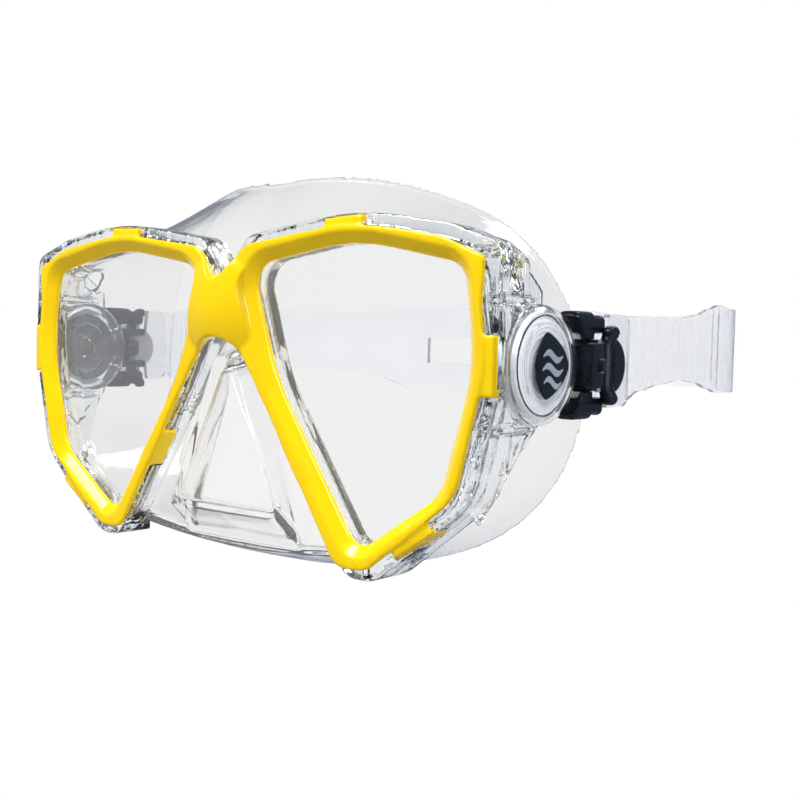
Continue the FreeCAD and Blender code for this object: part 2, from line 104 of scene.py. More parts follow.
def add_ramp(material, socket, low, high):
    node = material.node_tree.nodes.new("ShaderNodeValToRGB")
    node.color_ramp.elements[0].position = 0.3
    node.color_ramp.elements[0].color = (*low, 1)
    node.color_ramp.elements[1].position = 0.7
    node.color_ramp.elements[1].color = (*high, 1)
    material.node_tree.links.new(socket, node.inputs["Fac"])
    return node.outputs["Color"]


def add_bump(material, socket, distance, strength=1.0):
    node = material.node_tree.nodes.new("ShaderNodeBump")
    node.inputs["Distance"].default_value = distance
    node.inputs["Strength"].default_value = strength
    material.node_tree.links.new(socket, node.inputs["Height"])
    shader = material.node_tree.nodes["Principled BSDF"]
    material.node_tree.links.new(node.outputs["Normal"], shader.inputs["Normal"])


def light_shadows(material, share):
    """Lets this share of light straight through when the surface only casts a shadow."""
    tree = material.node_tree
    shader = tree.nodes["Principled BSDF"]
    output = tree.nodes["Material Output"]
    path = tree.nodes.new("ShaderNodeLightPath")
    scale = tree.nodes.new("ShaderNodeMath")
    scale.operation = "MULTIPLY"
    scale.inputs[1].default_value = share
    clear = tree.nodes.new("ShaderNodeBsdfTransparent")
    mix = tree.nodes.new("ShaderNodeMixShader")
    tree.links.new(path.outputs["Is Shadow Ray"], scale.inputs[0])
    tree.links.new(scale.outputs["Value"], mix.inputs["Fac"])
    tree.links.new(shader.outputs["BSDF"], mix.inputs[1])
    tree.links.new(clear.outputs["BSDF"], mix.inputs[2])
    tree.links.new(mix.outputs["Shader"], output.inputs["Surface"])


def plastic(name, low, high, rough, coat, grain_scale, grain_depth, sheen=0.5):
    material, _, links, shader = new_material(name)
    links.new(add_ramp(material, add_noise(material, 90), low, high), shader.inputs["Base Color"])
    links.new(add_range(material, add_noise(material, 260), *rough), shader.inputs["Roughness"])
    add_bump(material, add_noise(material, grain_scale, 4.0), grain_depth)
    shader.inputs["Specular IOR Level"].default_value = sheen
    shader.inputs["Coat Weight"].default_value = coat
    shader.inputs["Coat Roughness"].default_value = 0.05
    return material


def clear(name, low, high, rough, ior, transmission, wave_scale, wave_depth, shadow, stretch=(1, 1, 1)):
    material, _, links, shader = new_material(name)
    links.new(add_ramp(material, add_noise(material, 40), low, high), shader.inputs["Base Color"])
    links.new(add_range(material, add_noise(material, 150), *rough), shader.inputs["Roughness"])
    add_bump(material, add_noise(material, wave_scale, 2.0, stretch), wave_depth)
    shader.inputs["IOR"].default_value = ior
    shader.inputs["Transmission Weight"].default_value = transmission
    light_shadows(material, shadow)
    return material


def steel(name):
    material, _, links, shader = new_material(name)
    links.new(add_ramp(material, add_noise(material, 300), (0.5, 0.51, 0.53), (0.72, 0.73, 0.75)),
              shader.inputs["Base Color"])
    links.new(add_range(material, add_noise(material, 900), 0.18, 0.34), shader.inputs["Roughness"])
    add_bump(material, add_noise(material, 2500, 2.0, (1, 1, 6)), 0.00004)
    shader.inputs["Metallic"].default_value = 1.0
    return material


MATERIALS = {
    "yellow_plastic": plastic("yellow_gloss", (0.95, 0.63, 0.0), (0.99, 0.68, 0.0), (0.1, 0.17), 0.1, 900,
                              0.000004, 0.3),
    "black_plastic": plastic("satin_black", (0.002, 0.003, 0.006), (0.005, 0.007, 0.012), (0.2, 0.3), 0.0,
                             2200, 0.000012, 0.22),
    "badge_plastic": plastic("badge_black", (0.004, 0.006, 0.01), (0.008, 0.011, 0.018), (0.3, 0.42), 0.0,
                             3000, 0.000008, 0.25),
    "clear_plastic": clear("clear_polycarbonate", (0.91, 0.94, 0.965), (0.96, 0.975, 0.985), (0.0, 0.03),
                           1.58, 1.0, 160, 0.0003, 0.9, (2.0, 2.0, 0.35)),
    "lens_glass": clear("clear_glass", (0.975, 0.98, 0.97), (0.985, 0.988, 0.98), (0.0, 0.004), 1.5, 1.0, 30,
                        0.00001, 0.95),
    "clear_silicone": clear("clear_silicone", (0.955, 0.951, 0.94), (0.972, 0.969, 0.96), (0.02, 0.07),
                            1.4, 0.97, 60, 0.0001, 0.88),
    "strap_silicone": clear("strap_silicone", (0.85, 0.856, 0.888), (0.89, 0.896, 0.922), (0.08, 0.13),
                            1.37, 0.92, 60, 0.00002, 0.8),
    "spring_steel": steel("spring_steel")}
PEARL = plastic("pearl_backing", (0.72, 0.75, 0.82), (0.86, 0.88, 0.92), (0.2, 0.32), 0.4, 400, 0.00004)
WINDOW = clear("clear_window", (0.94, 0.955, 0.97), (0.97, 0.98, 0.99), (0.0, 0.02), 1.54, 1.0, 40, 0.00002,
               0.9)
MARK = plastic("pale_mark", (0.42, 0.5, 0.64), (0.5, 0.58, 0.72), (0.35, 0.5), 0.0, 2500, 0.00001)


# ---------------------------------------------------------------- mesh helpers

def link_object(name, mesh, material):
    obj = bpy.data.objects.new(name, mesh)
    scene.collection.objects.link(obj)
    obj.data.materials.clear()
    obj.data.materials.append(material)
    return obj


def shade(obj, angle=40):
    for polygon in obj.data.polygons:
        polygon.use_smooth = True
    obj.data.set_sharp_from_angle(angle=math.radians(angle))


def finish_piece(obj, body, slot, *replaced):
    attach(obj, body)
    if replaced:
        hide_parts(*replaced)
    return obj


def modify(obj, kind, **settings):
    modifier = obj.modifiers.new(kind.lower(), kind)
    for key, value in settings.items():
        setattr(modifier, key, value)


def bake_modifiers(obj):
    graph = bpy.context.evaluated_depsgraph_get()
    mesh = bpy.data.meshes.new_from_object(obj.evaluated_get(graph))
    obj.modifiers.clear()
    obj.data = mesh


def cad_copy(node, name, material):
    """Editable copy of a CAD node's mesh with its split vertices joined."""
    obj = link_object(name, nodes[node].data.copy(), material)
    work = bmesh.new()
    work.from_mesh(obj.data)
    bmesh.ops.remove_doubles(work, verts=work.verts, dist=2e-6)
    bmesh.ops.recalc_face_normals(work, faces=work.faces[:])
    work.to_mesh(obj.data)
    work.free()
    return obj


def fuse_and_soften(obj, voxel, rounds, factor=0.5):
    """Joins everything in the mesh into one skin and rounds its edges."""
    modify(obj, "REMESH", mode="VOXEL", voxel_size=voxel * MM)
    modify(obj, "SMOOTH", iterations=rounds, factor=factor)
    bake_modifiers(obj)
    shade(obj, 180)
    return obj


def mesh_from(points, faces, name, material):
    """Object from points in millimetres in the mask's axes."""
    mesh = bpy.data.meshes.new(name)
    mesh.from_pydata([place(*point) for point in points], [], faces)
    mesh.update()
    return link_object(name, mesh, material)


def side_points(points, side):
    return [(x * side, y, z) for x, y, z in points]


def grid_faces(rows, columns, wrap_rows=False, wrap_columns=False, flip=False):
    faces = []
    for i in range(rows if wrap_rows else rows - 1):
        for j in range(columns if wrap_columns else columns - 1):
            a = i * columns + j
            b = i * columns + (j + 1) % columns
            c = (i + 1) % rows * columns + (j + 1) % columns
            d = (i + 1) % rows * columns + j
            faces.append((a, d, c, b) if flip else (a, b, c, d))
    return faces


def rounded_box(x, y, z, radius):
    """Points and faces of a box with round edges, from three (low, high) pairs."""
    work = bmesh.new()
    bmesh.ops.create_cube(work, size=1.0)
    for vert in work.verts:
        for axis, (low, high) in enumerate((x, y, z)):
            vert.co[axis] = low if vert.co[axis] < 0 else high
    bmesh.ops.bevel(work, geom=work.edges[:], offset=radius, segments=4, profile=0.5, affect="EDGES")
    points = [tuple(vert.co) for vert in work.verts]
    faces = [[vert.index for vert in face.verts] for face in work.faces]
    work.free()
    return points, faces


def tube(path, radii, sides=20):
    """Points and faces of a closed tube in a plane X = constant, with a radius for each point of its path."""
    points = []
    count = len(path)
    for index, (x, y, z) in enumerate(path):
        before = Vector(path[max(index - 1, 0)])
        after = Vector(path[min(index + 1, count - 1)])
        along = (after - before).normalized()
        across = Vector((1, 0, 0)).cross(along)
        for step in range(sides):
            angle = 2 * math.pi * step / sides
            spot = Vector((x, y, z)) + across * radii[index][0] * math.cos(angle)
            spot.x += radii[index][1] * math.sin(angle)
            points.append(tuple(spot))
    faces = grid_faces(count, sides, wrap_columns=True)
    faces.append(tuple(range(sides))[::-1])
    faces.append(tuple((count - 1) * sides + step for step in range(sides)))
    return points, faces


def prism_x(outline, x, bevel=0.0):
    """Points and faces of a slab along X with a (y, z) outline and bevelled rims."""
    work = bmesh.new()
    front = work.faces.new([work.verts.new((x[0], y, z)) for y, z in outline])
    result = bmesh.ops.extrude_face_region(work, geom=[front])
    moved = [item for item in result["geom"] if isinstance(item, bmesh.types.BMVert)]
    bmesh.ops.translate(work, verts=moved, vec=(x[1] - x[0], 0, 0))
    bmesh.ops.recalc_face_normals(work, faces=work.faces[:])
    if bevel:
        rims = [edge for edge in work.edges if abs(edge.verts[0].co.x - edge.verts[1].co.x) < 1e-6]
        bmesh.ops.bevel(work, geom=rims, offset=bevel, segments=3, profile=0.5, affect="EDGES")
    work.verts.index_update()
    points = [tuple(vert.co) for vert in work.verts]
    faces = [[vert.index for vert in face.verts] for face in work.faces]
    work.free()
    return points, faces


def lathe(profile, side, segments=128, start=0.0, sweep=2 * math.pi):
    """Points and faces of a closed (radius, x) profile turned about the pivot axis."""
    full = sweep > 6.28
    count = segments if full else segments + 1
    points = []
    for step in range(count):
        angle = start + sweep * step / segments
        for radius, x in profile:
            points.append((side * x, HUB_Y + radius * math.cos(angle), HUB_Z + radius * math.sin(angle)))
    faces = grid_faces(count, len(profile), wrap_rows=full, wrap_columns=True, flip=side > 0)
    if not full:
        faces.append(tuple(range(len(profile))))
        faces.append(tuple((count - 1) * len(profile) + j for j in range(len(profile)))[::-1])
    return points, faces


def joined(shapes, name, material, side=1):
    """One object from several (points, faces) shapes."""
    points = []
    faces = []
    for shape_points, shape_faces in shapes:
        base = len(points)
        points += side_points(shape_points, side)
        faces += [[base + index for index in face] for face in shape_faces]
    obj = mesh_from(points, faces, name, material)
    work = bmesh.new()
    work.from_mesh(obj.data)
    bmesh.ops.recalc_face_normals(work, faces=work.faces[:])
    work.to_mesh(obj.data)
    work.free()
    return obj


def cut_away(obj, shapes, side):
    """Takes the shapes out of the object, one at a time."""
    for shape in shapes:
        cutter = joined([shape], "cutter", MATERIALS["black_plastic"], side)
        modify(obj, "BOOLEAN", operation="DIFFERENCE", object=cutter, solver="EXACT")
        bake_modifiers(obj)
        bpy.data.objects.remove(cutter)


def add_mesh(obj, extra):
    """Moves the extra object's mesh into this one."""
    work = bmesh.new()
    work.from_mesh(obj.data)
    work.from_mesh(extra.data)
    work.to_mesh(obj.data)
    work.free()
    bpy.data.objects.remove(extra)


def circle_outline(radius, y=HUB_Y, z=HUB_Z, count=96):
    turn = 2 * math.pi / count
    return [(y + radius * math.cos(turn * i), z + radius * math.sin(turn * i)) for i in range(count)]


# ---------------------------------------------------------------- bezel, frame, glass and skirt

bezel = fuse_and_soften(cad_copy("bezel", "bezel_shell", MATERIALS["yellow_plastic"]), 0.4, 12)
finish_piece(bezel, "mask", "yellow_plastic", "bezel")

frame_shell = cad_copy("main_frame", "frame_shell", MATERIALS["clear_plastic"])
for side in (1, -1):
    for sign in (1, -1):
        height = sorted((HUB_Z + sign * 14.0, HUB_Z + sign * 15.6))
        slab = rounded_box((77.5, 84.2), (9.0, 24.0), height, 0.4)
        ledge = joined([slab], "ledge", MATERIALS["clear_plastic"], side)
        add_mesh(frame_shell, ledge)
fuse_and_soften(frame_shell, 0.42, 7)
finish_piece(frame_shell, "mask", "clear_plastic", "main_frame")

skirt = fuse_and_soften(cad_copy("skirt", "skirt_shell", MATERIALS["clear_silicone"]), 0.7, 10)
finish_piece(skirt, "mask", "clear_silicone", "skirt")

for side_name in ("right", "left"):
    glass = cad_copy(side_name + "_lens", side_name + "_glass", MATERIALS["lens_glass"])
    work = bmesh.new()
    work.from_mesh(glass.data)
    bmesh.ops.dissolve_limit(work, angle_limit=math.radians(0.5), verts=work.verts[:], edges=work.edges[:])
    work.to_mesh(glass.data)
    work.free()
    modify(glass, "BEVEL", width=0.4 * MM, segments=2, limit_method="ANGLE", angle_limit=math.radians(50))
    bake_modifiers(glass)
    for polygon in glass.data.polygons:
        polygon.use_smooth = polygon.area < 10 * MM * MM
    finish_piece(glass, "mask", "lens_glass", side_name + "_lens")


# ---------------------------------------------------------------- strap

STRAP_Z = 10.4
STRAP_THICK = 1.6
ROLLER = (86.3, 43.2)
WRAP_R = 2.25
TAIL_Y = 58.7
BEND_Y = 60.0
BEND_R = 30.0
TURN = (70.5, 103.5)
TURN_R = 25.0
RIB_PITCH = 2.6
RIB_HEIGHT = 0.09
RIBBED_Y = (62, 100)
END_ROUNDING = 2.5
EDGE_WIDTH = 1.6
# Height of the strap along its arm: depth, below and above STRAP_Z
ARM_ROWS = [(36, 6.3, 4.1), (46.9, 6.3, 4.1), (47.9, 11.6, 11.5), (64, 11.4, 11.4), (71, 8.0, 11.7),
            (78, 6.3, 11.6), (85, 5.1, 11.7), (91, 5.9, 12.7), (95, 7.4, 14.4), (99, 8.6, 15.6),
            (106, 8.8, 14.8), (140, 8.7, 14.0)]
PAD_ROWS = [(0, 14, 15), (30, 14, 15), (56, 8.5, 13.0), (80, 8.4, 13.4), (100, 8.8, 14.8)]
SLOT_HALF = (26.0, 4.5)


def arc_points(centre, radius, start, end, step):
    count = max(2, round(abs(end - start) * radius / step))
    return [(centre[0] + radius * math.cos(start + (end - start) * i / count),
             centre[1] + radius * math.sin(start + (end - start) * i / count)) for i in range(count + 1)]


def line_points(start, end, step):
    count = max(1, round(math.dist(start, end) / step))
    return [tuple(start[k] + (end[k] - start[k]) * i / count for k in range(2)) for i in range(count + 1)]


def strap_line(step):
    """Middle line of the strap's right half, from the folded end to the mirror plane."""
    x_in = ROLLER[0] - WRAP_R
    bend = (x_in + BEND_R, BEND_Y)
    across = (TURN[0] - bend[0], TURN[1] - bend[1])
    angle = math.atan2(across[1], across[0]) + math.acos((BEND_R + TURN_R) / math.hypot(*across))
    bend_end = (bend[0] + BEND_R * math.cos(angle), bend[1] + BEND_R * math.sin(angle))
    meet = (TURN[0] - TURN_R * math.cos(angle), TURN[1] - TURN_R * math.sin(angle))
    runs = [line_points((ROLLER[0] + WRAP_R, TAIL_Y), (ROLLER[0] + WRAP_R, ROLLER[1]), step),
            arc_points(ROLLER, WRAP_R, 0.0, -math.pi, step / 2),
            line_points((x_in, ROLLER[1]), (x_in, BEND_Y), step),
            arc_points(bend, BEND_R, math.pi, angle, step),
            line_points(bend_end, meet, step),
            arc_points(TURN, TURN_R, angle - math.pi, math.pi / 2, step),
            line_points((TURN[0], TURN[1] + TURN_R), (0.0, TURN[1] + TURN_R), step)]
    line = []
    for run in runs:
        line += run if not line else run[1:]
    return line


def between(rows, place_at):
    """Smoothly interpolated heights of a table at one place."""
    rows = [rows[0]] + rows + [rows[-1]]
    for index in range(1, len(rows) - 2):
        low, high = rows[index], rows[index + 1]
        if place_at <= high[0]:
            share = min(1.0, max(0.0, (place_at - low[0]) / (high[0] - low[0])))
            share = share * share * (3 - 2 * share)
            return [low[k] + (high[k] - low[k]) * share for k in (1, 2)]
    return list(rows[-1][1:])


def strap_height(x, y):
    if y > TURN[1]:
        arm = between(ARM_ROWS, y)
        pad = between(PAD_ROWS, abs(x))
        share = min(1.0, (y - TURN[1]) / 14.0)
        return [arm[k] + (pad[k] - arm[k]) * share for k in (0, 1)]
    return between(ARM_ROWS, y)


def build_strap():
    half = strap_line(0.43)
    line = [(x, y) for x, y in half] + [(-x, y) for x, y in half[-2::-1]]
    rows = 17
    slot_rows = (6, 10)
    points = []
    length = 0.0
    lengths = []
    for index, (x, y) in enumerate(line):
        if index:
            length += math.dist(line[index - 1], (x, y))
        lengths.append(length)
    total = length
    for index, (x, y) in enumerate(line):
        before = line[max(index - 1, 0)]
        after = line[min(index + 1, len(line) - 1)]
        run = math.dist(before, after)
        normal = ((after[1] - before[1]) / run, -(after[0] - before[0]) / run)
        below, above = strap_height(x, y)
        from_end = min(lengths[index], total - lengths[index])
        end_round = max(0.0, 1.0 - from_end / END_ROUNDING)
        ribbed = 1.0 if RIBBED_Y[0] < y < RIBBED_Y[1] else 0.0
        wave = RIB_HEIGHT * ribbed * math.cos(2 * math.pi * from_end / RIB_PITCH)
        for row in range(rows):
            share = row / (rows - 1)
            if abs(x) < SLOT_HALF[0] + 6 and y > TURN[1]:
                spread = min(1.0, (SLOT_HALF[0] + 6 - abs(x)) / 6)
                height = below + above
                slot_share = (below - SLOT_HALF[1]) / height, (below + SLOT_HALF[1]) / height
                if row <= slot_rows[0]:
                    target = slot_share[0] * row / slot_rows[0]
                elif row >= slot_rows[1]:
                    past_slot = (row - slot_rows[1]) / (rows - 1 - slot_rows[1])
                    target = slot_share[1] + (1 - slot_share[1]) * past_slot
                else:
                    target = slot_share[0] + (slot_share[1] - slot_share[0]) * (row - slot_rows[0]) / 4
                share += (target - share) * spread
            squeeze = 1.0 - 0.12 * end_round * end_round
            z = STRAP_Z + (-below + (below + above) * share) * squeeze
            edge = min(share, 1 - share) * (below + above)
            flat = min(1.0, edge / EDGE_WIDTH)
            points.append((x + normal[0] * wave * flat, y + normal[1] * wave * flat, z))
    faces = []
    for a, b, c, d in grid_faces(len(line), rows):
        column, row = divmod(a, rows)
        x, y = line[column]
        x_next = line[column + 1][0]
        beside_slot = max(abs(x), abs(x_next)) <= SLOT_HALF[0] and y > TURN[1]
        in_slot = beside_slot and slot_rows[0] <= row < slot_rows[1]
        if not in_slot:
            faces.append((a, b, c, d))
    strap = mesh_from(points, faces, "strap_band", MATERIALS["strap_silicone"])
    modify(strap, "SOLIDIFY", thickness=STRAP_THICK * MM, offset=0.0, use_even_offset=True)
    bake_modifiers(strap)
    shade(strap, 50)
    return strap


finish_piece(build_strap(), "strap", "strap_silicone", "strap")


# ---------------------------------------------------------------- pods and buckles

COVER_PROFILE = [(0.01, 88.5), (8.3, 88.5), (8.8, 88.25), (9.6, 88.15), (10.2, 88.4), (10.9, 88.6),
                 (11.9, 88.55), (12.8, 88.1), (13.6, 87.3), (14.1, 86.4), (14.2, 85.5), (13.4, 85.5),
                 (13.3, 86.1), (12.9, 86.7), (12.2, 87.4), (11.6, 87.65), (10.6, 87.6), (9.7, 87.3),
                 (8.7, 87.35), (8.2, 87.6), (0.01, 87.6)]
RIM_PROFILE = [(14.2, 85.6), (14.2, 82.5), (13.6, 82.42), (12.6, 82.5), (12.5, 85.6)]
WALL_PROFILE = [(12.2, 86.6), (12.2, 83.3), (12.1, 83.2), (11.95, 83.3), (11.95, 86.5)]
SEAL_PROFILE = [(11.7, 86.55), (11.75, 86.8), (11.55, 86.9), (11.35, 86.8), (11.4, 86.55)]
BADGE_LIFT = 0.5
BADGE_TIP = 2.3
BADGE_HALF = (7.1, 7.8)


def pointed_oval(half_width, half_height, count=40):
    """Leaf-shaped outline, with its two points a little forward of the pivot."""
    outline = []
    for sign in (1, -1):
        for i in range(count):
            rise = math.cos(math.pi * i / count)
            width = (half_width + sign * BADGE_TIP) * (1 - abs(rise) ** 1.8) ** 0.8
            outline.append((HUB_Y - BADGE_TIP + sign * width, HUB_Z + sign * half_height * rise))
    return outline


def wave_mark(centre_z, length, height, thick, count=28):
    """Flat ribbon in the shape of one rolling wave."""
    upper = []
    lower = []
    for i in range(count + 1):
        share = i / count
        y = HUB_Y + length * (share - 0.5)
        z = HUB_Z + centre_z + height * math.sin(2 * math.pi * share)
        width = thick * (0.25 + 0.75 * math.sin(math.pi * share))
        upper.append((y, z + width / 2))
        lower.append((y, z - width / 2))
    return upper + lower[::-1]


def build_pod(side, side_name):
    cover = joined([lathe(COVER_PROFILE, 1), lathe(RIM_PROFILE, 1, 96, math.radians(58), math.radians(244))],
                   side_name + "_pod_window", WINDOW, side)
    shade(cover, 35)
    finish_piece(cover, "mask", "clear_plastic", side_name + "_pod_cover")
    rings = [(3.3, 86.3)]
    for step in range(36):
        radius = 3.3 + step * 0.25
        rings.append((radius, 86.6 + 0.12 * math.cos(step * 1.35)))
    rings += [(12.2, 86.6), (12.2, 86.3)]
    backing = joined([lathe(rings, 1), lathe(WALL_PROFILE, 1, 96, math.radians(60), math.radians(240))],
                     side_name + "_pod_backing", PEARL, side)
    shade(backing, 60)
    finish_piece(backing, "mask", "badge_plastic")
    seal = joined([lathe(SEAL_PROFILE, 1)], side_name + "_pod_seal", MATERIALS["black_plastic"], side)
    shade(seal, 60)
    finish_piece(seal, "mask", "black_plastic")
    plate = prism_x(pointed_oval(*BADGE_HALF), (88.0 + BADGE_LIFT, 88.6 + BADGE_LIFT), 0.18)
    badge = joined([plate], side_name + "_badge_plate",
                   MATERIALS["badge_plastic"], side)
    shade(badge, 30)
    finish_piece(badge, "mask", "badge_plastic", side_name + "_badge")
    mark = joined([prism_x(wave_mark(2.2, 8.6, 0.9, 1.9), (88.5 + BADGE_LIFT, 88.7 + BADGE_LIFT), 0.05),
                   prism_x(wave_mark(-0.9, 9.0, 0.9, 1.9), (88.5 + BADGE_LIFT, 88.7 + BADGE_LIFT), 0.05),
                   prism_x(wave_mark(-3.9, 7.6, 0.9, 1.7), (88.5 + BADGE_LIFT, 88.7 + BADGE_LIFT), 0.05)],
                  side_name + "_badge_waves", MARK, side)
    shade(mark, 30)
    finish_piece(mark, "mask", "badge_plastic")


def build_base(side, side_name):
    body = side_name + "_buckle"
    disc = joined([prism_x(circle_outline(10.6), (82.7, 84.6), 0.3)], side_name + "_pivot_disc",
                  MATERIALS["black_plastic"], side)
    slots = []
    for sign in (1, -1):
        path = []
        for i in range(17):
            angle = sign * math.radians(28 + 97 * i / 16)
            path.append((84.0, HUB_Y + 7.7 * math.cos(angle), HUB_Z + 7.7 * math.sin(angle)))
        slots.append(tube(path, [(0.75, 2.2)] * len(path), 12))
    slots.append(prism_x(circle_outline(3.05), (82, 86)))
    cut_away(disc, slots, side)
    shade(disc, 30)
    finish_piece(disc, body, "black_plastic", side_name + "_buckle_base")
    low, high = HUB_Z - 5.6, HUB_Z + 5.6
    shapes = [rounded_box((82.7, 85.2), (30.6, 38.6), (HUB_Z - 2.6, HUB_Z + 2.6), 0.4),
              rounded_box((81.4, 83.0), (37.0, 42.6), (HUB_Z - 2.4, HUB_Z + 2.4), 0.5),
              rounded_box((81.5, 83.0), (37.0, 38.8), (low, high), 0.5),
              rounded_box((85.6, 89.6), (33.0, 39.5), (HUB_Z - 4.8, HUB_Z + 4.8), 0.5),
              rounded_box((89.7, 90.9), (33.0, 39.5), (low, high), 0.5),
              rounded_box((88.5, 90.5), (35.8, 42.2), (HUB_Z - 4.5, HUB_Z + 4.5), 0.4),
              rounded_box((89.7, 91.4), (35.8, 42.2), (low, high), 0.75)]
    for sign in (1, -1):
        edges = sorted((HUB_Z + sign * 4.9, HUB_Z + sign * 6.4))
        rail = sorted((HUB_Z + sign * 4.1, HUB_Z + sign * 5.7))
        shapes.append(rounded_box((81.4, 88.1), (37.2, 45.3), edges, 0.4))
        inner = sorted((HUB_Z + sign * 3.9, HUB_Z + sign * 4.8))
        shapes.append(rounded_box((86.5, 91.3), (36.9, 42.2), inner, 0.45))
        shapes.append(rounded_box((81.4, 83.0), (37.0, 45.2), rail, 0.5))
    housing = joined(shapes, side_name + "_buckle_housing", MATERIALS["black_plastic"], side)
    fuse_and_soften(housing, 0.3, 3)
    cut_away(housing, [prism_x(circle_outline(14.6), (85.45, 92.0))], side)
    shade(housing, 40)
    finish_piece(housing, body, "black_plastic")


def build_wing(side, side_name, up):
    sign = 1 if up else -1
    label = "upper" if up else "lower"

    def span(inner, outer):
        return tuple(sorted((HUB_Z + sign * inner, HUB_Z + sign * outer)))

    shapes = [rounded_box((83.2, 89.6), (30.4, 46.0), span(7.8, 11.9), 1.0),
              rounded_box((83.4, 89.2), (32.2, 41.6), span(8.2, 13.1), 1.4),
              rounded_box((83.3, 89.4), (43.2, 46.3), span(7.8, 12.3), 1.2),
              rounded_box((83.2, 85.6), (43.6, 46.9), span(10.6, 13.2), 0.8),
              rounded_box((88.2, 89.35), (31.0, 41.0), span(6.1, 8.8), 0.35)]
    wing = joined(shapes, f"{side_name}_wing_{label}_grip", MATERIALS["black_plastic"], side)
    fuse_and_soften(wing, 0.3, 3)
    cut_away(wing, [prism_x(circle_outline(15.4), (82, 90)),
                    rounded_box((89.2, 91), (30.0, 43.0), span(8.3, 9.0), 0.25)], side)
    fuse_and_soften(wing, 0.28, 3)
    finish_piece(wing, f"{side_name}_wing_{label}", "black_plastic", f"{side_name}_wing_{label}")


# Upper half of the lever's catch seen from the side: depth and height above the pivot
CATCH_EDGE = [(46.8, 0.0), (46.9, 2.4), (47.3, 4.2), (48.2, 5.8), (48.9, 7.0), (49.1, 8.2), (48.5, 9.3),
              (47.2, 9.8), (45.6, 9.7), (44.3, 9.2), (43.8, 8.4), (43.7, 7.2), (43.2, 6.4), (42.3, 5.8),
              (42.3, 0.0)]


def build_lever(side, side_name):
    upper = [(y, HUB_Z + z) for y, z in CATCH_EDGE]
    lower = [(y, HUB_Z - z) for y, z in CATCH_EDGE[-2:0:-1]]
    thumb = []
    for i in range(49):
        angle = math.radians(-90 + 180 * i / 48)
        thumb.append((47.7 + 6.8 * math.cos(angle), HUB_Z + 6.9 * math.sin(angle)))
    shapes = [prism_x(upper + lower, (89.3, 91.3), 0.55), prism_x(thumb, (89.4, 90.8), 0.5),
              rounded_box((89.4, 91.1), (41.0, 44.0), (HUB_Z - 5.3, HUB_Z + 5.3), 0.4),
              rounded_box((88.95, 92.05), (39.35, 42.45), (HUB_Z - 1.9, HUB_Z + 1.9), 1.0),
              rounded_box((89.7, 90.6), (39.3, 44.0), (HUB_Z - 5.0, HUB_Z + 5.0), 0.4),
              rounded_box((89.4, 90.7), (45.0, 49.0), (HUB_Z - 6.3, HUB_Z + 6.3), 0.5)]
    lever = joined(shapes, side_name + "_lever_catch", MATERIALS["black_plastic"], side)
    fuse_and_soften(lever, 0.25, 3)
    for vert in lever.data.vertices:
        x = side * vert.co.x / MM
        y = vert.co.y / MM + SEAL_DEPTH
        z = abs(vert.co.z / MM - HUB_Z)
        if x > 90.2 and y > 42.0:
            ear = min(1.0, max(0.0, (z - 4.5) / 3.5))
            hollow = max(0.0, 1 - abs(y - 46.2) / 2.6) * (1 - ear)
            vert.co.x += side * MM * (x - 90.2) / 1.1 * (0.75 * ear * ear - 0.55 * hollow)
    finish_piece(lever, side_name + "_lever", "black_plastic", side_name + "_lever")


for side, side_name in ((1, "right"), (-1, "left")):
    build_pod(side, side_name)
    build_base(side, side_name)
    build_wing(side, side_name, True)
    build_wing(side, side_name, False)
    build_lever(side, side_name)

# CAD nodes that stay get their slot's material
slot_of = {part["node"]: part["material_slot"] for part in frame["record"]["subparts"]}
for name, obj in nodes.items():
    obj.data.materials.clear()
    obj.data.materials.append(MATERIALS[slot_of[name]])


# ---------------------------------------------------------------- studio

def choose_by_ray(tree, ray, usual, other):
    """Shader that is the other one for this kind of ray."""
    path = tree.nodes.new("ShaderNodeLightPath")
    mix = tree.nodes.new("ShaderNodeMixShader")
    tree.links.new(path.outputs[ray], mix.inputs["Fac"])
    tree.links.new(usual, mix.inputs[1])
    tree.links.new(other, mix.inputs[2])
    return mix.outputs["Shader"]


REFLECTED = (0.2, 0.26, 0.36, 1)
FLOOR_SEEN_THROUGH = 0.91
WORLD_SEEN_THROUGH = 0.9
WORLD_ON_DULL = 0.27


def build_floor():
    """Pale floor. The camera sees it white, and rays that reflect or pass through see set values."""
    low = cad_box[0][2] - 0.0006
    reach = 40.0
    mesh = bpy.data.meshes.new("floor")
    corners = [(-reach, -reach, low), (reach, -reach, low), (reach, reach, low), (-reach, reach, low)]
    mesh.from_pydata(corners, [], [(0, 1, 2, 3)])
    material, _, links, shader = new_material("pale_floor")
    tree = material.node_tree
    links.new(add_ramp(material, add_noise(material, 3), (0.3, 0.3, 0.3), (0.32, 0.32, 0.32)),
              shader.inputs["Base Color"])
    shader.inputs["Roughness"].default_value = 0.9
    seen_through = tree.nodes.new("ShaderNodeEmission")
    seen_through.inputs["Strength"].default_value = FLOOR_SEEN_THROUGH
    white = tree.nodes.new("ShaderNodeEmission")
    mirrored = tree.nodes.new("ShaderNodeEmission")
    mirrored.inputs["Color"].default_value = REFLECTED
    softer = choose_by_ray(tree, "Is Diffuse Ray", seen_through.outputs["Emission"], shader.outputs["BSDF"])
    softer = choose_by_ray(tree, "Is Glossy Ray", softer, mirrored.outputs["Emission"])
    softer = choose_by_ray(tree, "Is Transmission Ray", softer, seen_through.outputs["Emission"])
    links.new(choose_by_ray(tree, "Is Camera Ray", softer, white.outputs["Emission"]),
              tree.nodes["Material Output"].inputs["Surface"])
    link_object("floor", mesh, material)


